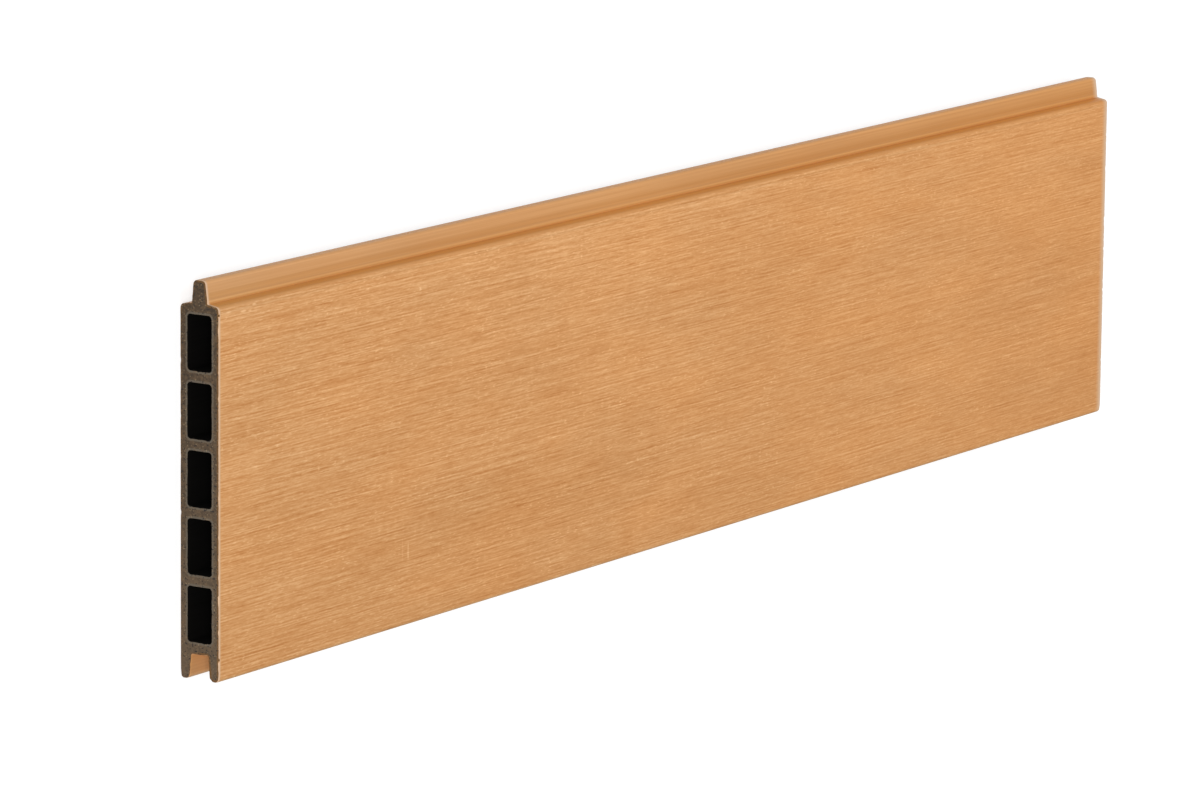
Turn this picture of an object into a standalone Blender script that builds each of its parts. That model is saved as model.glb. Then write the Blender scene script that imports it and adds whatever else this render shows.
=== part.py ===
"""Composite fence board: one length of hollow tongue-and-groove extrusion.

The board is one piece of stock, extruded in one go and sawn square at both ends. It lies flat, with its
grained face up: X runs along the board, Y across it from the groove to the tongue, and Z through its
thickness. The origin is under the middle of the board, on the surface that it lies on.

The section is drawn as a 2D curve, outline and chambers together, and extruded along the board.
All sizes are in metres.
"""

import math

import bpy
from mathutils import Vector

# The board
BOARD_LENGTH = 0.750
BOARD_THICKNESS = 0.020
COVER_WIDTH = 0.161
FACE_WALL = 0.0038

# The chambers between the two faces, and the webs that part them
CHAMBER_COUNT = 5
RIB_THICKNESS = 0.0052
TONGUE_WEB = 0.0049
GROOVE_WEB = 0.0053
CHAMBER_FILLET = 0.0015

# The tongue along the upper edge
TONGUE_HEIGHT = 0.0098
TONGUE_ROOT_WIDTH = 0.0086
TONGUE_TIP_WIDTH = 0.0060
TONGUE_TIP_FILLET = 0.0019
TONGUE_ROOT_FILLET = 0.0004

# The shoulders beside the tongue, which fall away from it to shed water
SHOULDER_FALL = 0.0010
SHOULDER_FILLET = 0.0020

# The groove takes the tongue of the next board with these clearances
MOUTH_CLEARANCE = 0.0010
CEILING_CLEARANCE = 0.0013
END_CLEARANCE = 0.0011
CEILING_FILLET = 0.0009

# The two lips beside the groove: tapered on their outer side, and rounded to lead the next tongue in
LIP_LEAD_IN_FILLET = 0.0022
LIP_OUTER_FILLET = 0.0015
LIP_TAPER_RUN = 0.0040
LIP_TAPER_DEPTH = 0.0004
LIP_TAPER_FILLET = 0.0100

# How finely each round is drawn, in segments
ROUND_SEGMENTS = 8

# Finish of the wood-plastic composite, in linear colour
BOARD_COLOUR = (0.651, 0.328, 0.133, 1.0)
BOARD_ROUGHNESS = 0.55

# Sizes that follow from the ones above
MID_PLANE = BOARD_THICKNESS / 2
OVERALL_WIDTH = COVER_WIDTH + TONGUE_HEIGHT
GROOVE_DEPTH = TONGUE_HEIGHT + END_CLEARANCE
MOUTH_WIDTH = TONGUE_ROOT_WIDTH + 2 * MOUTH_CLEARANCE
CEILING_WIDTH = TONGUE_TIP_WIDTH + 2 * CEILING_CLEARANCE
FIRST_CHAMBER = GROOVE_DEPTH + GROOVE_WEB
CHAMBER_RUN = COVER_WIDTH - TONGUE_WEB - FIRST_CHAMBER
CHAMBER_HEIGHT = (CHAMBER_RUN - (CHAMBER_COUNT - 1) * RIB_THICKNESS) / CHAMBER_COUNT


def clear_scene():
    """Remove every object of the open scene."""
    for item in list(bpy.data.objects):
        bpy.data.objects.remove(item, do_unlink=True)


def make_collection(name):
    """Return a new collection linked to the scene."""
    collection = bpy.data.collections.new(name)
    bpy.context.scene.collection.children.link(collection)
    return collection


def make_material(name, colour, roughness):
    """Return a plain Principled material."""
    material = bpy.data.materials.new(name)
    material.use_nodes = True
    shader = material.node_tree.nodes["Principled BSDF"]
    shader.inputs["Base Color"].default_value = colour
    shader.inputs["Roughness"].default_value = roughness
    shader.inputs["Metallic"].default_value = 0.0
    return material


def half_outline():
    """Return the corners of the back half of the section, from the groove's ceiling to the tongue's tip.

    Each corner is its distance across the board from the lip tips, its height above the back face
    and its fillet.
    """
    shoulder = COVER_WIDTH - SHOULDER_FALL
    return [
        (GROOVE_DEPTH, MID_PLANE - CEILING_WIDTH / 2, CEILING_FILLET),
        (0.0, MID_PLANE - MOUTH_WIDTH / 2, LIP_LEAD_IN_FILLET),
        (0.0, LIP_TAPER_DEPTH, LIP_OUTER_FILLET),
        (LIP_TAPER_RUN, 0.0, LIP_TAPER_FILLET),
        (shoulder, 0.0, SHOULDER_FILLET),
        (COVER_WIDTH, MID_PLANE - TONGUE_ROOT_WIDTH / 2, TONGUE_ROOT_FILLET),
        (OVERALL_WIDTH, MID_PLANE - TONGUE_TIP_WIDTH / 2, TONGUE_TIP_FILLET),
    ]


def board_outline():
    """Return the corners of the whole outline: the back half and its mirror image about the mid plane."""
    back = half_outline()
    front = [(across, BOARD_THICKNESS - height, fillet) for across, height, fillet in reversed(back)]
    return back + front


def chamber_outline(index):
    """Return the corners of one chamber, counted from the groove."""
    low = FIRST_CHAMBER + index * (CHAMBER_HEIGHT + RIB_THICKNESS)
    high = low + CHAMBER_HEIGHT
    back = FACE_WALL
    front = BOARD_THICKNESS - FACE_WALL
    corners = [(low, back), (high, back), (high, front), (low, front)]
    return [(across, height, CHAMBER_FILLET) for across, height in corners]


def fillet_ends(corner, before, after, radius):
    """Return where a fillet's arc starts and ends, with the handle that bends each end.

    The fillet takes at most half of the shorter side beside it, so that two fillets never cross.
    """
    back = before - corner
    ahead = after - corner
    half_angle = back.angle(ahead) / 2
    reach = min(radius / math.tan(half_angle), 0.49 * back.length, 0.49 * ahead.length)
    arc_radius = reach * math.tan(half_angle)
    turn = math.pi - 2 * half_angle
    handle = 4 / 3 * math.tan(turn / 4) * arc_radius
    start = corner + reach * back.normalized()
    end = corner + reach * ahead.normalized()
    return start, start - handle * back.normalized(), end, end - handle * ahead.normalized()


def add_rounded_spline(curve, corners):
    """Add a closed Bezier spline whose corners are rounded by circular fillets and joined by straights."""
    places = [Vector((across - OVERALL_WIDTH / 2, height, 0.0)) for across, height, _ in corners]
    spline = curve.splines.new("BEZIER")
    spline.bezier_points.add(2 * len(corners) - 1)
    spline.use_cyclic_u = True
    for index, (_, _, radius) in enumerate(corners):
        following = places[(index + 1) % len(places)]
        start, start_handle, end, end_handle = fillet_ends(
            places[index], places[index - 1], following, radius)
        entry = spline.bezier_points[2 * index]
        entry.co = start
        entry.handle_left_type = "VECTOR"
        entry.handle_right_type = "FREE"
        entry.handle_right = start_handle
        leave = spline.bezier_points[2 * index + 1]
        leave.co = end
        leave.handle_left_type = "FREE"
        leave.handle_right_type = "VECTOR"
        leave.handle_left = end_handle


def make_board(collection):
    """Extrude the section along the board and lay it flat, with the tongue towards +Y."""
    curve = bpy.data.curves.new("board_section", type="CURVE")
    curve.dimensions = "2D"
    curve.fill_mode = "BOTH"
    curve.resolution_u = ROUND_SEGMENTS
    curve.extrude = BOARD_LENGTH / 2
    add_rounded_spline(curve, board_outline())
    for index in range(CHAMBER_COUNT):
        add_rounded_spline(curve, chamber_outline(index))
    board = bpy.data.objects.new("fence_board", curve)
    board.rotation_euler = (math.radians(90), 0.0, math.radians(90))
    curve.materials.append(make_material("wood_composite", BOARD_COLOUR, BOARD_ROUGHNESS))
    collection.objects.link(board)
    return board


def main():
    """Build the fence board."""
    clear_scene()
    make_board(make_collection("composite_fence_board"))


main()
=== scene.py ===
"""Looks of a composite fence board: one length of hollow wood-plastic extrusion, sawn at both ends.

The board lies flat with its brushed face up. X runs along it, Y across it from the groove to the
tongue, and Z through its thickness. Every length is in metres, unless its name ends in _mm.
"""

import logging
import math
from abc import ABC, abstractmethod
from dataclasses import dataclass, field, replace
from enum import Enum
from typing import Any, Iterable

import bmesh
import bpy
from bmesh.types import BMEdge, BMesh, BMFace, BMVert
from mathutils import Matrix, Vector, noise


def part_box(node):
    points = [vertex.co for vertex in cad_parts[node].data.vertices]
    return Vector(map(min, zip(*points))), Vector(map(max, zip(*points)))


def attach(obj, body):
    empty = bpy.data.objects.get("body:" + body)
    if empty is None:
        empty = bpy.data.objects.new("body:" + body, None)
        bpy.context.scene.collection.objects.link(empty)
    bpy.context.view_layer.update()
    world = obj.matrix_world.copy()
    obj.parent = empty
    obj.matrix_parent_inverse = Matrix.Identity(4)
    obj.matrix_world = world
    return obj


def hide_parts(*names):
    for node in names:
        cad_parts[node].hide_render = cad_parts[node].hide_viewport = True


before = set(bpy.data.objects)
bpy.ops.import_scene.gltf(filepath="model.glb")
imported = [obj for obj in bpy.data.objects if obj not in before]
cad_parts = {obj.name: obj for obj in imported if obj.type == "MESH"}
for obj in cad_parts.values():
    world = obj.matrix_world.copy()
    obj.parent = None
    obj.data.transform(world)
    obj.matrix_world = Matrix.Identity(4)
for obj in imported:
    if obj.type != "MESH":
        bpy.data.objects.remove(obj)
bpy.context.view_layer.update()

BOARD_NODE = "fence_board"
BOARD_BODY = "root"

MM = 0.001
WELD = 0.01 * MM

# The middle of a colour ramp and of a noise texture, which both run from 0 to 1
MIDDLE = 0.5

# How strong the finer detail of a noise texture is beside the coarser
DETAIL_ROUGHNESS = 0.6

# How far above its onset a peak has its full weight, in shares of the weight
PEAK_RISE = 0.14

# The mesh's noises: how far through the board one of their steps reaches, and the seeds that set
# them apart. The board's thickness takes up four steps
NOISE_STEP = 5 * MM
FURROW_SEED_GAP = 10.0
WANDER_SEED = 5.0

# Socket numbers of the Mix node where it mixes colours
MIX_FACTOR, MIX_A, MIX_B, MIX_RESULT = 0, 6, 7, 2

Colour = tuple[float, float, float, float]
Triple = tuple[float, float, float]
Stops = tuple[tuple[float, str], ...]
Socket = bpy.types.NodeSocket
Tree = bpy.types.NodeTree
Loop = list[BMEdge]
Rims = tuple[Loop, list[Loop]]

log = logging.getLogger("fence_board")


def linear(code: str) -> Colour:
    """Turn an sRGB hex colour into the linear colour that a shader socket takes.

    Args:
        code: A hash and six hex digits.

    Returns:
        Red, green, blue and alpha.
    """
    shares = [int(code[place:place + 2], 16) / 255 for place in (1, 3, 5)]
    # The numbers of the sRGB curve
    red, green, blue = (s / 12.92 if s <= 0.04045 else ((s + 0.055) / 1.055) ** 2.4 for s in shares)
    return red, green, blue, 1.0


def add_node(tree: Tree, kind: str, settings: dict[Any, Any] | None = None,
             links: dict[Any, Socket] | None = None) -> bpy.types.Node:
    """Add a shader node with its settings and links.

    Args:
        tree: The node tree that it joins.
        kind: Its type name.
        settings: Values of its properties by name, and of its inputs by name or number. The name
            "stops" gives a colour ramp its positions and colours.
        links: The outputs that feed its inputs, by the input's name or number.

    Returns:
        The new node.
    """
    node = tree.nodes.new(kind)
    for name, value in (settings or {}).items():
        if name == "stops":
            marks = node.color_ramp.elements
            while len(marks) < len(value):
                marks.new(1.0)
            for mark, (position, code) in zip(marks, value):
                mark.position = position
                mark.color = linear(code)
        elif isinstance(name, str) and hasattr(node, name):
            setattr(node, name, value)
        else:
            node.inputs[name].default_value = value
    for name, socket in (links or {}).items():
        tree.links.new(socket, node.inputs[name])
    return node


def add_up(tree: Tree, values: list[Socket], start: float = 0.0) -> Socket:
    """Add values together in a material.

    Args:
        tree: The material's node tree.
        values: The outputs to add.
        start: What the sum starts from.

    Returns:
        Their sum.
    """
    first, *others = values
    total = add_node(tree, "ShaderNodeMath", {"operation": "ADD", 1: start}, {0: first}).outputs[0]
    for value in others:
        both = add_node(tree, "ShaderNodeMath", {"operation": "ADD"}, {0: total, 1: value})
        total = both.outputs[0]
    return total


def tint(tree: Tree, colour: Socket, share: Socket, tints: Stops) -> Socket:
    """Multiply a colour by a tint from a ramp.

    Args:
        tree: The material's node tree.
        colour: The colour to tint.
        share: Where on the ramp the tint is taken.
        tints: The ramp's positions and colours. White leaves the colour as it is.

    Returns:
        The tinted colour.
    """
    ramp = add_node(tree, "ShaderNodeValToRGB", {"stops": tints}, {"Fac": share})
    mix = add_node(tree, "ShaderNodeMix",
                   {"data_type": "RGBA", "blend_type": "MULTIPLY", MIX_FACTOR: 1.0},
                   {MIX_A: colour, MIX_B: ramp.outputs["Color"]})
    return mix.outputs[MIX_RESULT]


def lit_or_seen(tree: Tree, lit: Socket, seen: Socket) -> Socket:
    """Let one shader light the scene, and let another one be seen, also in mirrors and glass.

    Args:
        tree: The node tree of a material or of the world.
        lit: The shader that lights the scene.
        seen: The shader that is seen.

    Returns:
        The two shaders as one.
    """
    ray = add_node(tree, "ShaderNodeLightPath").outputs
    looks = add_up(tree, [ray["Is Camera Ray"], ray["Is Glossy Ray"], ray["Is Transmission Ray"]])
    return add_node(tree, "ShaderNodeMixShader", {}, {0: looks, 1: lit, 2: seen}).outputs[0]


def smooth_step(low: float, high: float, value: float) -> float:
    """Return 0 at low and 1 at high, with a smooth change between them, level beyond them."""
    share = min(max((value - low) / (high - low), 0.0), 1.0)
    return share * share * (3 - 2 * share)


def streak_noise(place: Vector, length: float, width: float, seed: float) -> float:
    """Return a noise from about -1 to 1, stretched along the board."""
    through = seed + place.z / NOISE_STEP
    return noise.noise(Vector((place.x / length, place.y / width, through)))


def of_kind(items: Iterable[Any], kind: type) -> list[Any]:
    """Return the items of one kind, such as the faces in what a mesh operator gives back."""
    return [item for item in items if isinstance(item, kind)]


def put_in_order(shape: BMesh) -> None:
    """Make a mesh anew, with its points, edges and faces in the order of their places.

    The extrude operator leaves them, and their links, in an order that changes from run to run.

    Args:
        shape: The board's mesh.
    """
    def corners(item: BMEdge | BMFace) -> list[int]:
        """Return the numbers of an item's points."""
        return sorted(vert.index for vert in item.verts)

    places = ((shape.verts, lambda vert: vert.co.to_tuple()), (shape.edges, corners),
              (shape.faces, corners))
    for items, place in places:
        ranks = {item: rank for rank, item in enumerate(sorted(items, key=place))}
        items.sort(key=ranks.get)
        items.index_update()
    ordered = bpy.data.meshes.new("ordered_board")
    shape.to_mesh(ordered)
    shape.clear()
    shape.from_mesh(ordered)
    bpy.data.meshes.remove(ordered)


def sorted_loops(shape: BMesh, edges: Iterable[BMEdge]) -> list[Loop]:
    """Sort edges into the separate closed loops that they form.

    Args:
        shape: The board's mesh.
        edges: Edges of it, each with two others of them beside it.

    Returns:
        The outline's loop, and then the chambers' loops from the groove to the tongue.
    """
    shape.edges.index_update()
    loops = []
    waiting = set(edges)
    while waiting:
        loop = [waiting.pop()]
        for edge in loop:
            beside = {other for vert in edge.verts for other in vert.link_edges} & waiting
            waiting -= beside
            loop.extend(beside)
        loops.append(sorted(loop, key=lambda edge: edge.index))
    return sorted(loops, key=lambda loop: min(edge.verts[0].co.y for edge in loop))


class Surface(Enum):
    """The kinds of surface on the board. The value is the material slot."""

    CAP = 0
    SAWN_END = 1
    CHAMBER = 2


class Layer(Enum):
    """The numbers that the mesh carries on its points for the materials."""

    BRUSHED = "brushed"
    FURROW = "furrow"
    BURR = "burr"
    SKIN = "skin"
    DRAG = "drag"


@dataclass(frozen=True)
class Marks:
    """One kind of mark in a pattern, with its size along the board, across it and through it.

    The weight is how much it adds to the pattern, and the start gives it its own part of the noise.
    """

    length_mm: float
    width_mm: float
    depth_mm: float
    weight: float
    detail: float = 0.0
    start: Triple = (0.0, 0.0, 0.0)

    def draw(self, tree: Tree, place: Socket) -> Socket:
        """Add the marks to a material.

        Args:
            tree: The material's node tree.
            place: Object coordinates.

        Returns:
            A noise about 0, at most half of the weight either way.
        """
        scale = tuple(1 / (size * MM) for size in (self.length_mm, self.width_mm, self.depth_mm))
        stretched = add_node(tree, "ShaderNodeMapping", {"Scale": scale, "Location": self.start},
                             {"Vector": place})
        pattern = add_node(tree, "ShaderNodeTexNoise",
                           {"Scale": 1.0, "Detail": self.detail, "Roughness": DETAIL_ROUGHNESS},
                           {"Vector": stretched.outputs["Vector"]})
        even = add_node(tree, "ShaderNodeMath",
                        {"operation": "MULTIPLY_ADD", 1: self.weight, 2: -MIDDLE * self.weight},
                        {0: pattern.outputs["Fac"]})
        return even.outputs[0]

    def draw_peaks(self, tree: Tree, place: Socket, onset: float) -> Socket:
        """Add only the peaks of the marks, with bare surface between them.

        Args:
            tree: The material's node tree.
            place: Object coordinates.
            onset: How high above the noise's middle a peak starts, in shares of the weight.

        Returns:
            Zero between the peaks, rising to the weight's size and sign at their tops.
        """
        size = abs(self.weight)
        peak = add_node(tree, "ShaderNodeMapRange",
                        {"interpolation_type": "SMOOTHSTEP", "From Min": onset * size,
                         "From Max": (onset + PEAK_RISE) * size, "To Max": self.weight},
                        {"Value": replace(self, weight=size).draw(tree, place)})
        return peak.outputs["Result"]


@dataclass(frozen=True)
class SlowChange:
    """A slow change of tint over the board, part of it even and part of it in blotches."""

    slope: Triple
    blotches: Marks
    tints: Stops

    def draw(self, tree: Tree, place: Socket, colour: Socket) -> Socket:
        """Tint a colour.

        Args:
            tree: The material's node tree.
            place: Object coordinates.
            colour: The colour to tint.

        Returns:
            The tinted colour.
        """
        even = add_node(tree, "ShaderNodeVectorMath",
                        {"operation": "DOT_PRODUCT", 1: self.slope}, {0: place})
        blotches = self.blotches.draw(tree, place)
        share = add_up(tree, [even.outputs["Value"], blotches], MIDDLE)
        return tint(tree, colour, share, self.tints)


@dataclass(frozen=True)
class EdgeTint:
    """A tint along one edge of the board: where it starts and stops across it, and its colours."""

    start: float
    stop: float
    tints: Stops

    def draw(self, tree: Tree, across: Socket, colour: Socket) -> Socket:
        """Tint a colour.

        Args:
            tree: The material's node tree.
            across: The place across the board.
            colour: The colour to tint.

        Returns:
            The tinted colour.
        """
        share = add_node(tree, "ShaderNodeMapRange",
                         {"From Min": self.start, "From Max": self.stop}, {"Value": across})
        return tint(tree, colour, share.outputs["Result"], self.tints)


@dataclass(frozen=True)
class Scratch:
    """A short pale scratch or splinter on the upper face: its middle, its reach and its weight.

    Its solid core is the share of the reach that has the full weight.
    """

    middle_mm: tuple[float, float]
    reach_mm: tuple[float, float]
    weight: float
    face_mm: float = 20.0
    depth_mm: float = 2.0
    solid: float = 0.4

    def draw(self, tree: Tree, place: Socket) -> Socket:
        """Add the scratch to a material.

        Args:
            tree: The material's node tree.
            place: Object coordinates.

        Returns:
            The weight along the scratch, and 0 beside it.
        """
        middle = (*self.middle_mm, self.face_mm)
        reach = (*self.reach_mm, self.depth_mm)
        scale = tuple(1 / (size * MM) for size in reach)
        shift = tuple(-at / size for at, size in zip(middle, reach))
        centred = add_node(tree, "ShaderNodeMapping", {"Scale": scale, "Location": shift},
                           {"Vector": place})
        far = add_node(tree, "ShaderNodeVectorMath", {"operation": "LENGTH"},
                       {0: centred.outputs["Vector"]})
        mark = add_node(tree, "ShaderNodeMapRange",
                        {"interpolation_type": "SMOOTHSTEP", "From Min": 1.0,
                         "From Max": self.solid, "To Max": self.weight},
                        {"Value": far.outputs["Value"]})
        return mark.outputs["Result"]


@dataclass(frozen=True)
class Finish(ABC):
    """A finish of the board: a Principled material whose patterns sit on Object coordinates."""

    title: str

    def material(self) -> bpy.types.Material:
        """Make the finish's material."""
        material = bpy.data.materials.new(self.title)
        material.use_nodes = True
        tree = material.node_tree
        place = add_node(tree, "ShaderNodeTexCoord").outputs["Object"]
        self._paint(tree, tree.nodes["Principled BSDF"], place)
        return material

    @abstractmethod
    def _paint(self, tree: Tree, shader: bpy.types.Node, place: Socket) -> None:
        """Put the finish's patterns into its shader.

        Args:
            tree: The material's node tree.
            shader: The Principled shader.
            place: Object coordinates.
        """


@dataclass(frozen=True)
class OakCap(Finish):
    """Co-extruded polyethylene cap in golden oak, over the core.

    The faces are wire-brushed along the board: matt, with dark furrows, pale ridges and short pale
    flecks where the skin is torn. The tongue, the shoulders and the groove keep the die's finish,
    which is smoother, glossier and only faintly lined.
    """

    title: str = "co_extruded_oak_cap"

    # The brushed streaks. The real ones are 0.1 to 0.5 mm wide, and are drawn wider here to show.
    # Their starts through the board are whole numbers, and its faces are whole numbers of their
    # depths apart, so that both faces meet the noise where it is crispest
    streaks: tuple[Marks, ...] = (
        Marks(160.0, 0.72, 5.0, 0.33, 0.0, (4.5, 2.8, 1.0)),
        Marks(34.0, 0.72, 5.0, 0.33),
        Marks(16.0, 0.42, 5.0, 0.19, 0.0, (3.1, 7.7, 3.0)),
        Marks(11.0, 0.85, 5.0, 0.27, 0.0, (8.2, 1.9, 4.0)),
        Marks(4.5, 0.68, 5.0, 0.25, 0.0, (6.1, 3.6, 7.0)),
        Marks(1.8, 0.68, 5.0, 0.14, 0.0, (0.4, 5.3, 2.0)),
    )
    furrow_weight: float = -0.08

    # Short pale flecks, which come in patches, and fine dark grooves
    flecks: Marks = Marks(3.0, 0.60, 5.0, 0.27, 0.0, (5.7, 2.3, 9.0))
    fleck_onset: float = 0.12
    fleck_patches: Marks = Marks(26.0, 9.0, 20.0, 2.4, 1.0, (1.3, 8.8, 2.0))
    grooves: Marks = Marks(30.0, 0.6, 5.0, -0.13, 0.0, (2.6, 4.4, 6.0))
    groove_onset: float = 0.14

    # Splinters beside the near end's upper corner, and an old pair of scratches in the lower half
    scratches: tuple[Scratch, ...] = (
        Scratch((-350.0, 72.9), (1.9, 0.7), 0.34),
        Scratch((-357.5, 71.0), (2.6, 0.7), 0.30),
        Scratch((-353.0, 70.6), (1.6, 0.6), 0.26),
        Scratch((-368.0, 72.0), (2.4, 0.6), 0.24),
        Scratch((-236.9, -52.4), (0.9, 5.6), 0.22),
        Scratch((-241.2, -51.0), (0.7, 7.0), 0.10),
    )

    # The brushing grows fainter along the board: the share of its strength lost in a metre
    fading: float = 0.46
    brushed_tones: Stops = (
        (0.0, "#b36e30"), (0.25, "#c48549"), (0.5, "#d59b62"), (0.75, "#e6b17b"), (1.0, "#f7c894"))

    # The die's faint lines on the smooth parts, which turn warmer towards the far end
    die_lines: Marks = Marks(140.0, 0.9, 0.9, 0.6, 2.0, (6.6, 0.4, 3.3))
    smooth_tones: Stops = ((0.2, "#ca8f55"), (0.5, "#d79e65"), (0.8, "#e4ad75"))
    smooth_warmth: SlowChange = SlowChange(
        (1.33, 0.0, 0.0), Marks(60.0, 8.0, 8.0, 0.3, 1.0, (2.9, 6.6, 1.8)),
        ((0.0, "#ffffff"), (1.0, "#fcf7e1")))

    # Slow changes: darker towards the groove, and warmer towards the tongue and the far end
    shade: SlowChange = SlowChange(
        (0.0, 3.2, 0.0), Marks(150.0, 45.0, 60.0, 1.3, 2.0, (0.9, 5.2, 7.1)),
        ((0.0, "#ede6d9"), (1.0, "#ffffff")))
    warmth: SlowChange = SlowChange(
        (1.1, 2.0, 0.0), Marks(90.0, 30.0, 60.0, 1.4, 2.0, (7.3, 1.8, 4.6)),
        ((0.0, "#f7fafe"), (0.5, "#fbfaf8"), (1.0, "#fffaf1")))

    # The edges, partly tint and partly painted light. Over the shoulder and up the tongue: clear,
    # then painted shade, brown and deep, in the corner between them, a painted highlight at the
    # flank's foot, painted shade on its lower part and a painted highlight on its tip. At the lips:
    # greyer along their outer edge
    edge_tints_and_painted_light: tuple[EdgeTint, ...] = (
        EdgeTint(71.4 * MM, 85.4 * MM, (
            (0.00, "#ffffff"), (0.07, "#f9fcff"), (0.16, "#fffffd"), (0.19, "#fcf8f1"),
            (0.23, "#f8eed0"), (0.27, "#ffefba"), (0.30, "#efd7a8"), (0.33, "#e5d8ad"),
            (0.37, "#f4f6e7"), (0.39, "#f7f7e9"), (0.42, "#e6e4da"), (0.46, "#e6e2d2"),
            (0.49, "#e8e1cb"), (0.57, "#e8e1cb"), (0.69, "#f3f2f0"), (0.89, "#f3f3f3"),
            (0.92, "#ffffff"))),
        EdgeTint(-85.4 * MM, -83.4 * MM, ((0.3, "#ebf8ff"), (0.8, "#ffffff"))),
    )

    # The pale burr that the saw leaves along both ends
    burr_colour: str = "#cfac8b"

    ior: float = 1.5
    specular: float = 0.28
    smooth_roughness: float = 0.50
    brushed_roughness: float = 0.66
    bump_strength: float = 0.5
    bump_depth: float = 0.15 * MM

    def _paint(self, tree: Tree, shader: bpy.types.Node, place: Socket) -> None:
        """Put the brushed and the smooth skin into the shader, with their tints and the burr.

        Args:
            tree: The material's node tree.
            shader: The Principled shader.
            place: Object coordinates.
        """
        brushed, furrow, burr = (
            add_node(tree, "ShaderNodeAttribute", {"attribute_name": layer.value}).outputs["Fac"]
            for layer in (Layer.BRUSHED, Layer.FURROW, Layer.BURR))
        axes = add_node(tree, "ShaderNodeSeparateXYZ", {}, {"Vector": place}).outputs

        tone = self._brushed_tone(tree, place, axes["X"], furrow)
        faces = add_node(tree, "ShaderNodeValToRGB", {"stops": self.brushed_tones}, {"Fac": tone})
        lines = add_up(tree, [self.die_lines.draw(tree, place)], MIDDLE)
        edges = add_node(tree, "ShaderNodeValToRGB", {"stops": self.smooth_tones}, {"Fac": lines})
        smooth = self.smooth_warmth.draw(tree, place, edges.outputs["Color"])
        skin = add_node(tree, "ShaderNodeMix", {"data_type": "RGBA"},
                        {MIX_FACTOR: brushed, MIX_A: smooth, MIX_B: faces.outputs["Color"]})

        tinted = self.shade.draw(tree, place, skin.outputs[MIX_RESULT])
        tinted = self.warmth.draw(tree, place, tinted)
        # These paint shade and highlights over the shoulder and the tongue, and grey the lips
        for edge_tint in self.edge_tints_and_painted_light:
            tinted = edge_tint.draw(tree, axes["Y"], tinted)
        colour = add_node(tree, "ShaderNodeMix",
                          {"data_type": "RGBA", MIX_B: linear(self.burr_colour)},
                          {MIX_FACTOR: burr, MIX_A: tinted})
        tree.links.new(colour.outputs[MIX_RESULT], shader.inputs["Base Color"])

        shader.inputs["IOR"].default_value = self.ior
        shader.inputs["Specular IOR Level"].default_value = self.specular
        gloss = add_node(tree, "ShaderNodeMapRange",
                         {"To Min": self.smooth_roughness, "To Max": self.brushed_roughness},
                         {"Value": brushed})
        tree.links.new(gloss.outputs["Result"], shader.inputs["Roughness"])
        relief = add_node(tree, "ShaderNodeMath", {"operation": "MULTIPLY"}, {0: tone, 1: brushed})
        bump = add_node(tree, "ShaderNodeBump",
                        {"Strength": self.bump_strength, "Distance": self.bump_depth},
                        {"Height": relief.outputs[0]})
        tree.links.new(bump.outputs["Normal"], shader.inputs["Normal"])

    def _brushed_tone(self, tree: Tree, place: Socket, along: Socket, furrow: Socket) -> Socket:
        """Add the tone of the brushed faces: streaks, furrows, flecks, fine grooves and scratches.

        Args:
            tree: The material's node tree.
            place: Object coordinates.
            along: The place along the board.
            furrow: How deep the mesh's furrows are.

        Returns:
            The tone, from 0 for the darkest to 1 for the palest, about a half.
        """
        dark = add_node(tree, "ShaderNodeMath", {"operation": "MULTIPLY", 1: self.furrow_weight},
                        {0: furrow})
        patches = add_node(tree, "ShaderNodeMath",
                           {"operation": "ADD", 1: MIDDLE, "use_clamp": True},
                           {0: self.fleck_patches.draw(tree, place)})
        flecks = add_node(tree, "ShaderNodeMath", {"operation": "MULTIPLY"},
                          {0: self.flecks.draw_peaks(tree, place, self.fleck_onset),
                           1: patches.outputs[0]})
        layers = [streak.draw(tree, place) for streak in self.streaks]
        layers += [scratch.draw(tree, place) for scratch in self.scratches]
        layers += [dark.outputs[0], flecks.outputs[0],
                   self.grooves.draw_peaks(tree, place, self.groove_onset)]
        total = add_up(tree, layers, -MIDDLE * self.furrow_weight)
        strength = add_node(tree, "ShaderNodeMath",
                            {"operation": "MULTIPLY_ADD", 1: -self.fading, 2: 1.0}, {0: along})
        tone = add_node(tree, "ShaderNodeMath", {"operation": "MULTIPLY_ADD", 2: MIDDLE},
                        {0: total, 1: strength.outputs[0]})
        return tone.outputs[0]


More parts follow.
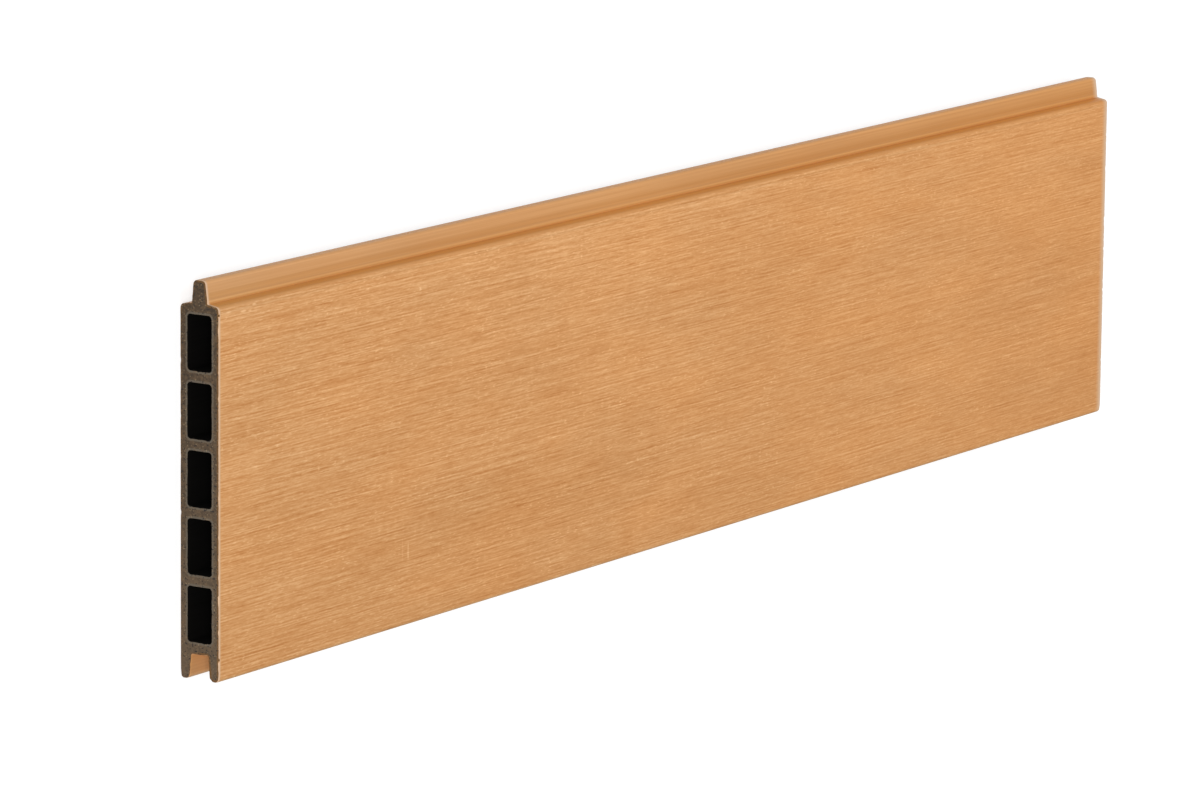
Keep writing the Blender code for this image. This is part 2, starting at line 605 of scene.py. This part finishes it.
@dataclass(frozen=True)
class SawnCore(Finish):
    """Sawn wood-plastic core: wood flour in recycled plastic, dull grey-brown, mottled and pitted.

    The saw leaves pale wood chips and dark pits 0.3 to 1 mm across, a brown line where it cuts the
    cap, and a paler drag round each chamber.
    """

    title: str = "sawn_wood_plastic_core"
    mottle: Marks = Marks(1.6, 1.6, 1.6, 0.70, 2.0)
    clouds: Marks = Marks(9.0, 9.0, 9.0, 0.5, 1.0, (3.3, 1.1, 7.2))
    tones: Stops = ((0.1, "#3b2f22"), (0.4, "#524230"), (0.6, "#5f4e3b"), (0.9, "#77644d"))

    # Darker towards the tongue: painted shade where the light on the sawn end falls off, with soft
    # blotches
    shade: SlowChange = SlowChange(
        (0.0, -6.3, 0.0), Marks(20.0, 20.0, 20.0, 0.4, 1.0, (2.2, 6.1, 0.7)),
        ((0.0, "#b6ab96"), (1.0, "#ffffff")))

    # The drag and the cut cap's brown line. Both wander with the mottle: by how much, between which
    # levels they come up, and how well they cover
    drag_colour: str = "#5f5649"
    skin_colour: str = "#68461d"
    ragged: float = 0.6
    rim_levels: tuple[float, float] = (-0.05, 0.3)
    rim_cover: float = 0.9

    # The wood chips and the pits: their marks, the onset of their peaks, and their colours
    specks: tuple[tuple[Marks, float, str], ...] = (
        (Marks(0.7, 0.7, 0.7, 1.0, 0.0, (4.4, 9.1, 2.2)), 0.18, "#847156"),
        (Marks(0.9, 0.9, 0.9, 1.0, 0.0, (7.4, 3.9, 5.5)), 0.14, "#1d1610"),
    )
    roughness: float = 0.85
    bump_strength: float = 0.7
    bump_depth: float = 0.25 * MM

    def _paint(self, tree: Tree, shader: bpy.types.Node, place: Socket) -> None:
        """Put the mottled core, its rims and its specks into the shader.

        Args:
            tree: The material's node tree.
            shader: The Principled shader.
            place: Object coordinates.
        """
        grit = self.mottle.draw(tree, place)
        tone = add_up(tree, [grit, self.clouds.draw(tree, place)], MIDDLE)
        plain = add_node(tree, "ShaderNodeValToRGB", {"stops": self.tones}, {"Fac": tone})
        colour = self.shade.draw(tree, place, plain.outputs["Color"])

        covers = []
        low, high = self.rim_levels
        for layer, paint in ((Layer.DRAG, self.drag_colour), (Layer.SKIN, self.skin_colour)):
            amount = add_node(tree, "ShaderNodeAttribute", {"attribute_name": layer.value})
            wander = add_node(tree, "ShaderNodeMath",
                              {"operation": "MULTIPLY_ADD", 1: self.ragged},
                              {0: grit, 2: amount.outputs["Fac"]})
            edge = add_node(tree, "ShaderNodeMapRange",
                            {"interpolation_type": "SMOOTHSTEP", "From Min": low,
                             "From Max": high, "To Max": self.rim_cover},
                            {"Value": wander.outputs[0]})
            covers.append((edge.outputs["Result"], paint))
        for marks, onset, paint in self.specks:
            covers.append((marks.draw_peaks(tree, place, onset), paint))
        for amount, paint in covers:
            mix = add_node(tree, "ShaderNodeMix", {"data_type": "RGBA", MIX_B: linear(paint)},
                           {MIX_FACTOR: amount, MIX_A: colour})
            colour = mix.outputs[MIX_RESULT]
        tree.links.new(colour, shader.inputs["Base Color"])

        shader.inputs["Roughness"].default_value = self.roughness
        bump = add_node(tree, "ShaderNodeBump",
                        {"Strength": self.bump_strength, "Distance": self.bump_depth},
                        {"Height": tone})
        tree.links.new(bump.outputs["Normal"], shader.inputs["Normal"])


@dataclass(frozen=True)
class ChamberWall(Finish):
    """Inside of a chamber: painted near black as the shade deep in it, dull, faintly lined."""

    title: str = "chamber_wall_painted_shade"
    lines: Marks = Marks(60.0, 1.2, 1.2, 0.6, 1.0)
    # Near black tones: painted shade inside the chamber
    tones: Stops = ((0.2, "#050403"), (0.8, "#0a0908"))
    roughness: float = 0.8
    specular: float = 0.05

    def _paint(self, tree: Tree, shader: bpy.types.Node, place: Socket) -> None:
        """Put the lined skin into the shader.

        Args:
            tree: The material's node tree.
            shader: The Principled shader.
            place: Object coordinates.
        """
        tone = add_up(tree, [self.lines.draw(tree, place)], MIDDLE)
        colour = add_node(tree, "ShaderNodeValToRGB", {"stops": self.tones}, {"Fac": tone})
        tree.links.new(colour.outputs["Color"], shader.inputs["Base Color"])
        shader.inputs["Roughness"].default_value = self.roughness
        shader.inputs["Specular IOR Level"].default_value = self.specular


@dataclass(frozen=True)
class PaleFloor:
    """Matt pale studio floor. What is seen of it is lifted to white, with its shadows kept."""

    colour: str = "#aeaeae"
    lift: float = 0.70

    def material(self) -> bpy.types.Material:
        """Make the floor's material."""
        material = bpy.data.materials.new("pale_studio_floor")
        material.use_nodes = True
        tree = material.node_tree
        tree.nodes.clear()
        paint = add_node(tree, "ShaderNodeBsdfDiffuse", {"Color": linear(self.colour)}).outputs[0]
        glow = add_node(tree, "ShaderNodeEmission", {"Strength": self.lift}).outputs[0]
        lifted = add_node(tree, "ShaderNodeAddShader", {}, {0: paint, 1: glow}).outputs[0]
        both = lit_or_seen(tree, paint, lifted)
        add_node(tree, "ShaderNodeOutputMaterial", {}, {"Surface": both})
        return material


@dataclass
class FenceBoard:
    """The whole board: the outer skin, the two sawn ends and the walls of the chambers.

    The section comes from the CAD solid. The mesh follows it but for the brushed furrows and the
    wear of the sawn edges and ends, which all go into the material, so that nothing stands proud.
    """

    name: str = "board_body"
    cap: OakCap = field(default_factory=OakCap)
    core: SawnCore = field(default_factory=SawnCore)
    chamber: ChamberWall = field(default_factory=ChamberWall)

    # Spacing of the mesh along the section, and of its rings along the board
    front_row: float = 0.5 * MM
    back_row: float = 1.6 * MM
    edge_row: float = 1.5 * MM
    chamber_row: float = 0.6 * MM
    bay: float = 5.5 * MM
    end_steps_mm: tuple[float, ...] = (0.0, 0.25, 0.7, 1.5, 2.8, 4.8)
    chamber_steps_mm: tuple[float, ...] = (0.0, 0.8)

    # Where the brushing stops: before the tongue's shoulders, along a line that wanders, and down
    # the rounding of the edges
    shoulder_line: float = 74.6 * MM
    brushing_fade: float = 1.0 * MM
    wander_width: float = 0.5 * MM
    wander_length: float = 30.0 * MM
    rounding: tuple[float, float] = (0.45 * MM, 0.9 * MM)

    # The brushed furrows, long and short: length, width and share of the depth. Without them the
    # depth is at its mean
    furrow_depth: float = 0.08 * MM
    furrow_mean: float = 0.5
    furrows: tuple[Triple, ...] = ((48.0 * MM, 1.2 * MM, 0.6), (14.0 * MM, 1.0 * MM, 0.5))

    # The sawn edges: a finely broken arris, and chips here and there, which come up between two
    # levels of their noise
    arris: float = 0.10 * MM
    arris_reach: float = 0.25 * MM
    chip_depth: float = 0.30 * MM
    chip_reach: float = 0.7 * MM
    chip_length: float = 2.6 * MM
    chip_levels: tuple[float, float] = (0.15, 0.7)

    # Two larger nicks in the near end's front edge: place across the board, half width and depth.
    # Where they are deeper than the torn depth, they lay the dark core bare
    nicks: tuple[Triple, ...] = (
        (71.6 * MM, 1.0 * MM, 0.9 * MM), (-75.6 * MM, 1.3 * MM, 0.5 * MM))
    torn_depth: float = 0.12 * MM

    # The pale burrs along the near end and, wider, along the far end. The solid share of their
    # width is at full strength, and a nick of the broken depth takes them away. The groove has
    # none: past its ceiling's place across the board, they keep this far from the mid plane
    burrs: tuple[float, float] = (1.6 * MM, 3.9 * MM)
    burr_solid: float = 0.4
    burr_broken: float = 0.15 * MM
    groove_ceiling: float = -74.3 * MM
    groove_half: float = 5.6 * MM

    # The sawn ends: the band that holds the cut cap and the drag, and the grid of the core inside
    # it. Little of the cap's brown shows along the back half. It comes up between these shares of
    # the thickness
    end_band: float = 1.2 * MM
    end_grid: float = 1.0 * MM
    back_skin: float = 0.15
    skin_rise: tuple[float, float] = (0.35, 0.65)

    # The core's pits, and the share of their depth that the whole end is worn by on average
    pit_depth: float = 0.12 * MM
    pit_size: float = 1.7 * MM
    pit_mean: float = 0.4

    # The chambers' sawn rims: uneven wear all round, and tears on the side towards the groove
    chamber_wear: float = 0.30 * MM
    tear_depth: float = 0.55 * MM
    tear_length: float = 1.3 * MM

    low: Vector = field(default_factory=lambda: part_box(BOARD_NODE)[0])
    high: Vector = field(default_factory=lambda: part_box(BOARD_NODE)[1])

    @property
    def length(self) -> float:
        """The board's length."""
        return self.high.x - self.low.x

    def build(self) -> bpy.types.Object:
        """Build the board, dress it and let it stand for the CAD solid.

        Returns:
            The finished object.
        """
        shape = bmesh.new()
        for layer in Layer:
            shape.verts.layers.float.new(layer.value)
        outline, chambers = self._section_loops(shape)
        outline, chambers = self._fill_ends(shape, outline, chambers)
        self._draw_out(shape, outline, self.end_steps_mm, self.bay, Surface.CAP)
        for loop in chambers:
            self._draw_out(shape, loop, self.chamber_steps_mm, self.length, Surface.CHAMBER)
        far_end = [vert for vert in shape.verts if vert.co.x > self.high.x - WELD]
        bmesh.ops.remove_doubles(shape, verts=far_end, dist=WELD)
        put_in_order(shape)
        bmesh.ops.recalc_face_normals(shape, faces=shape.faces)
        self._work_surfaces(shape)
        for edge in shape.edges:
            edge.smooth = len({face.material_index for face in edge.link_faces}) == 1

        mesh = bpy.data.meshes.new(self.name)
        shape.to_mesh(mesh)
        shape.free()
        board = bpy.data.objects.new(self.name, mesh)
        bpy.context.scene.collection.objects.link(board)
        finishes: dict[Surface, Finish] = {
            Surface.CAP: self.cap, Surface.SAWN_END: self.core, Surface.CHAMBER: self.chamber}
        for surface in Surface:
            mesh.materials.append(finishes[surface].material())
        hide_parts(BOARD_NODE)
        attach(board, BOARD_BODY)
        return board

    def _section_loops(self, shape: BMesh) -> Rims:
        """Take the section from the CAD solid's near end, and divide its edges into rows.

        Args:
            shape: The empty mesh that receives the section.

        Returns:
            The outline's edges, and the edges of each chamber.
        """
        solid = bmesh.new()
        solid.from_mesh(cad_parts[BOARD_NODE].data)
        bmesh.ops.remove_doubles(solid, verts=solid.verts, dist=WELD)
        near = self.low.x + WELD
        beyond = [face for face in solid.faces if max(vert.co.x for vert in face.verts) > near]
        bmesh.ops.delete(solid, geom=beyond, context="FACES")
        across = [edge for edge in solid.edges if not edge.is_boundary]
        bmesh.ops.delete(solid, geom=list(solid.faces), context="FACES_ONLY")
        bmesh.ops.delete(solid, geom=across, context="EDGES")
        rims = bpy.data.meshes.new("section_rims")
        solid.to_mesh(rims)
        solid.free()
        shape.from_mesh(rims)
        bpy.data.meshes.remove(rims)

        for number, loop in enumerate(sorted_loops(shape, shape.edges)):
            for edge in loop:
                cuts = math.ceil(edge.calc_length() / self._row(edge, number > 0)) - 1
                if cuts > 0:
                    bmesh.ops.subdivide_edges(shape, edges=[edge], cuts=cuts)
        outline, *chambers = sorted_loops(shape, shape.edges)
        return outline, chambers

    def _row(self, edge: BMEdge, chamber: bool) -> float:
        """Return how finely an edge of the section is divided.

        Args:
            edge: The edge.
            chamber: Whether it belongs to a chamber.

        Returns:
            The most that a row may measure.
        """
        heights = [vert.co.z for vert in edge.verts]
        if chamber:
            return self.chamber_row
        if min(heights) > self.high.z - WELD:
            return self.front_row
        if max(heights) < self.low.z + WELD:
            return self.back_row
        return self.edge_row

    def _fill_ends(self, shape: BMesh, outline: Loop, chambers: list[Loop]) -> Rims:
        """Fill the section at the near end, and repeat it at the far end.

        A band runs along every rim, for the cut cap and for the drag round the chambers. Inside
        it, the core is a square grid, fine enough to be pitted.

        Args:
            shape: The board's mesh, with the section's loops at the near end.
            outline: The outline's edges.
            chambers: The edges of each chamber.

        Returns:
            The near end's rims: the outline's edges, and the edges of each chamber.
        """
        rims = outline + [edge for loop in chambers for edge in loop]
        filled = bmesh.ops.triangle_fill(shape, edges=rims, use_beauty=True,
                                         normal=(-1.0, 0.0, 0.0))["geom"]
        faces = of_kind(filled, BMFace)
        for face in faces:
            face.material_index = Surface.SAWN_END.value
            face.smooth = True
        bmesh.ops.inset_region(shape, faces=faces, thickness=self.end_band, use_boundary=True,
                               use_even_offset=True)
        rims = [edge for edge in shape.edges if edge.is_boundary]
        outline, *chambers = sorted_loops(shape, rims)
        skin, drag = (shape.verts.layers.float[layer.value] for layer in (Layer.SKIN, Layer.DRAG))
        for vert in (vert for edge in outline for vert in edge.verts):
            height = (vert.co.z - self.low.z) / (self.high.z - self.low.z)
            front = smooth_step(*self.skin_rise, height)
            vert[skin] = self.back_skin + (1 - self.back_skin) * front
        for vert in (vert for loop in chambers for edge in loop for vert in edge.verts):
            vert[drag] = 1.0
        self._cut_grid(shape, faces)
        near_end = [*shape.verts, *shape.edges, *shape.faces]
        copy = bmesh.ops.duplicate(shape, geom=near_end)["geom"]
        bmesh.ops.translate(shape, verts=of_kind(copy, BMVert), vec=(self.length, 0.0, 0.0))
        return outline, chambers

    def _cut_grid(self, shape: BMesh, faces: list[BMFace]) -> None:
        """Cut the faces of a sawn end into a square grid, across the board and through it.

        Args:
            shape: The board's mesh, which holds only that end.
            faces: The faces inside the band along the rims.
        """
        for axis in (1, 2):
            normal = Vector((0.0, 0.0, 0.0))
            normal[axis] = 1.0
            lines = math.floor((self.high[axis] - self.low[axis]) / self.end_grid)
            for number in range(1, lines + 1):
                point = normal * (self.low[axis] + number * self.end_grid)
                edges = dict.fromkeys(edge for face in faces for edge in face.edges)
                verts = dict.fromkeys(vert for face in faces for vert in face.verts)
                cut = bmesh.ops.bisect_plane(shape, geom=[*verts, *edges, *faces], plane_co=point,
                                             plane_no=normal, dist=WELD)["geom"]
                faces = of_kind(cut, BMFace)

    def _draw_out(self, shape: BMesh, loop: Loop, end_steps_mm: tuple[float, ...], bay: float,
                  surface: Surface) -> None:
        """Extrude a loop of the section from the near end to the far end, in rings.

        Args:
            shape: The board's mesh.
            loop: The loop's edges, at the near end.
            end_steps_mm: Where the closer rings stand beside both ends.
            bay: The most that the rings between them may be apart.
            surface: The kind of surface that it makes.
        """
        steps = [step * MM for step in end_steps_mm]
        plain = self.length - 2 * steps[-1]
        bays = math.ceil(plain / bay)
        places = [self.low.x + step for step in steps]
        places += [places[-1] + plain * number / bays for number in range(1, bays)]
        places += [self.high.x - step for step in reversed(steps)]

        grown = bmesh.ops.extrude_edge_only(shape, edges=loop)["geom"]
        for face in of_kind(grown, BMFace):
            face.material_index = surface.value
            face.smooth = True
        far = of_kind(grown, BMVert)
        bmesh.ops.translate(shape, verts=far, vec=(self.length, 0.0, 0.0))
        rails = [edge for vert in far for edge in vert.link_edges
                 if edge.calc_length() > self.length / 2]
        divided = bmesh.ops.subdivide_edges(shape, edges=rails, cuts=len(places) - 2)["geom_inner"]
        step = self.length / (len(places) - 1)
        for vert in of_kind(divided, BMVert):
            vert.co.x = places[round((vert.co.x - self.low.x) / step)]

    def _work_surfaces(self, shape: BMesh) -> None:
        """Brush the faces, break the sawn edges and pit the sawn ends, always into the material.

        Args:
            shape: The closed mesh, with its normals outwards.
        """
        brushed_layer, furrow_layer, burr_layer = (
            shape.verts.layers.float[layer.value]
            for layer in (Layer.BRUSHED, Layer.FURROW, Layer.BURR))
        shape.normal_update()
        moves = []
        for vert in shape.verts:
            kinds = {face.material_index for face in vert.link_faces}
            inward = Vector((0.0, -vert.normal.y, -vert.normal.z)).normalized()
            if Surface.CAP.value in kinds:
                vert[brushed_layer] = brushed = self._brushing(vert.co)
                vert[furrow_layer] = furrow = self._furrow(vert.co)
                vert[burr_layer] = self._burr(vert.co)
                depth = brushed * furrow * self.furrow_depth + self._edge_wear(vert.co)
            elif Surface.CHAMBER.value in kinds:
                depth = self._chamber_wear(vert)
            else:
                inward = Vector((-math.copysign(1.0, vert.co.x), 0.0, 0.0))
                rough = self.pit_mean + noise.noise(vert.co / self.pit_size)
                depth = self.pit_depth * max(0.0, rough)
            moves.append((vert, inward * depth))
        for face in shape.faces:
            nick = self._nick(face.calc_center_median())
            if face.material_index == Surface.CAP.value and nick > self.torn_depth:
                face.material_index = Surface.SAWN_END.value
        for vert, move in moves:
            vert.co += move

    def _brushing(self, place: Vector) -> float:
        """Return how fully a point of the skin is brushed: 1 on the faces, 0 on the edges."""
        below_face = min(self.high.z - place.z, place.z - self.low.z)
        wander = streak_noise(place, self.wander_length, self.wander_length, WANDER_SEED)
        room = self.shoulder_line - place.y + self.wander_width * wander
        near, far = self.rounding
        return smooth_step(0.0, self.brushing_fade, room) * smooth_step(far, near, below_face)

    def _furrow(self, place: Vector) -> float:
        """Return how deep the brushed furrows are at a point, as a share of the full depth."""
        depth = self.furrow_mean
        for number, (length, width, share) in enumerate(self.furrows):
            depth += share * streak_noise(place, length, width, FURROW_SEED_GAP * number)
        return min(max(depth, 0.0), 1.0)

    def _burr(self, place: Vector) -> float:
        """Return how much of the saw's pale burr a point of the skin has."""
        off_mid = abs(place.z - (self.low.z + self.high.z) / 2)
        if place.y < self.groove_ceiling and off_mid < self.groove_half:
            return 0.0
        width = self.burrs[0] if place.x < 0 else self.burrs[1]
        whole = 1 - smooth_step(0.0, self.burr_broken, self._nick(place))
        return whole * smooth_step(width, self.burr_solid * width, self.high.x - abs(place.x))

    def _edge_wear(self, place: Vector) -> float:
        """Return how far the skin is worn back at a point near a sawn edge."""
        distance = self.high.x - abs(place.x)
        if distance > self.chip_reach:
            return 0.0
        arris = self.arris * max(0.0, 1 - distance / self.arris_reach)
        chip = smooth_step(*self.chip_levels, noise.noise(place / self.chip_length))
        spread = 1 - distance / self.chip_reach
        return arris + spread * self.chip_depth * chip + self._nick(place)

    def _nick(self, place: Vector) -> float:
        """Return how deep the larger nicks are. Only the near end's front edge has them."""
        if place.x > 0 or place.z < self.high.z - WELD:
            return 0.0
        spread = max(0.0, 1 - (place.x - self.low.x) / self.chip_reach)
        return spread * max(depth * smooth_step(half_width, 0.0, abs(place.y - across))
                            for across, half_width, depth in self.nicks)

    def _chamber_wear(self, vert: BMVert) -> float:
        """Return how far a chamber's wall is worn back, which only its sawn rims are."""
        if self.high.x - abs(vert.co.x) > WELD:
            return 0.0
        wear = self.chamber_wear * max(0.0, (1 + noise.noise(vert.co / self.chip_length)) / 2)
        tear = self.tear_depth * max(0.0, noise.noise(vert.co / self.tear_length))
        return wear + tear * max(0.0, vert.normal.y)


@dataclass(frozen=True)
class SoftLamp:
    """A large square lamp that points at the board."""

    name: str
    place: Triple
    size: float
    power: float

    def build(self) -> None:
        """Hang the lamp."""
        light = bpy.data.lights.new(self.name, "AREA")
        light.size = self.size
        light.energy = self.power
        lamp = bpy.data.objects.new(self.name, light)
        lamp.location = self.place
        lamp.rotation_euler = Vector(self.place).to_track_quat("Z", "Y").to_euler()
        lamp.visible_camera = False
        bpy.context.scene.collection.objects.link(lamp)


@dataclass(frozen=True)
class Studio:
    """The floor, the soft light and the camera at the photograph's place."""

    floor: PaleFloor = PaleFloor()
    floor_half: float = 15.0
    floor_drop: float = 0.2 * MM
    lamps: tuple[SoftLamp, ...] = (
        SoftLamp("overhead_softbox", (1.2, 1.25, 2.3), 2.0, 33.0),
        SoftLamp("end_softbox", (-5.0, 0.3, 3.2), 2.5, 245.0),
        SoftLamp("low_softbox", (-0.6, -2.3, 1.3), 1.4, 11.0),
    )

    # The air: its colour, how strongly it fills the shadows, and how bright it is seen
    air_colour: str = "#ffffff"
    fill: float = 0.34
    backdrop: float = 1.0

    # The camera, solved from the corners of the board's outline: where it stands, the way it looks
    # and its upward direction
    eye: Triple = (-2.66987, 0.58227, 1.72447)
    sight: Triple = (0.81989, -0.18749, -0.54095)
    upward: Triple = (0.15088, 0.98221, -0.11175)
    lens_mm: float = 209.17
    sensor_mm: float = 36.0
    view_reach: float = 100.0

    def build(self) -> None:
        """Set the stage up round the board."""
        self._lay_floor()
        for lamp in self.lamps:
            lamp.build()
        self._set_world()
        self._set_camera()
        bpy.context.scene.view_settings.view_transform = "Standard"

    def _lay_floor(self) -> None:
        """Lay the floor just under the board."""
        plane = bmesh.new()
        bmesh.ops.create_grid(plane, x_segments=1, y_segments=1, size=self.floor_half)
        bmesh.ops.translate(plane, verts=plane.verts, vec=(0.0, 0.0, -self.floor_drop))
        mesh = bpy.data.meshes.new("studio_floor")
        plane.to_mesh(mesh)
        plane.free()
        mesh.materials.append(self.floor.material())
        floor = bpy.data.objects.new("studio_floor", mesh)
        bpy.context.scene.collection.objects.link(floor)

    def _set_world(self) -> None:
        """Fill the shadows with an even light, under a background that is seen as white."""
        world = bpy.data.worlds.new("studio_air")
        world.use_nodes = True
        tree = world.node_tree
        tree.nodes.clear()
        fill, backdrop = (
            add_node(tree, "ShaderNodeBackground",
                     {"Color": linear(self.air_colour), "Strength": strength}).outputs[0]
            for strength in (self.fill, self.backdrop))
        both = lit_or_seen(tree, fill, backdrop)
        add_node(tree, "ShaderNodeOutputWorld", {}, {"Surface": both})
        bpy.context.scene.world = world

    def _set_camera(self) -> None:
        """Put the camera where the photograph was taken from."""
        forward, up = Vector(self.sight), Vector(self.upward)
        turn = Matrix((forward.cross(up), up, -forward)).transposed()
        lens = bpy.data.cameras.new("photo_camera")
        lens.sensor_fit = "HORIZONTAL"
        lens.sensor_width = self.sensor_mm
        lens.lens = self.lens_mm
        lens.clip_end = self.view_reach
        camera = bpy.data.objects.new("photo_camera", lens)
        camera.matrix_world = Matrix.LocRotScale(Vector(self.eye), turn.to_quaternion(), None)
        bpy.context.scene.collection.objects.link(camera)
        bpy.context.scene.camera = camera


def main() -> None:
    """Build the board and its studio, and report each piece."""
    logging.basicConfig(level=logging.INFO, format="%(name)s: %(message)s")
    board = FenceBoard().build()
    mesh = board.data
    mesh.calc_loop_triangles()
    log.info("%s: %d faces, %d triangles",
             board.name, len(mesh.polygons), len(mesh.loop_triangles))
    Studio().build()


if __name__ == "__main__":
    main()
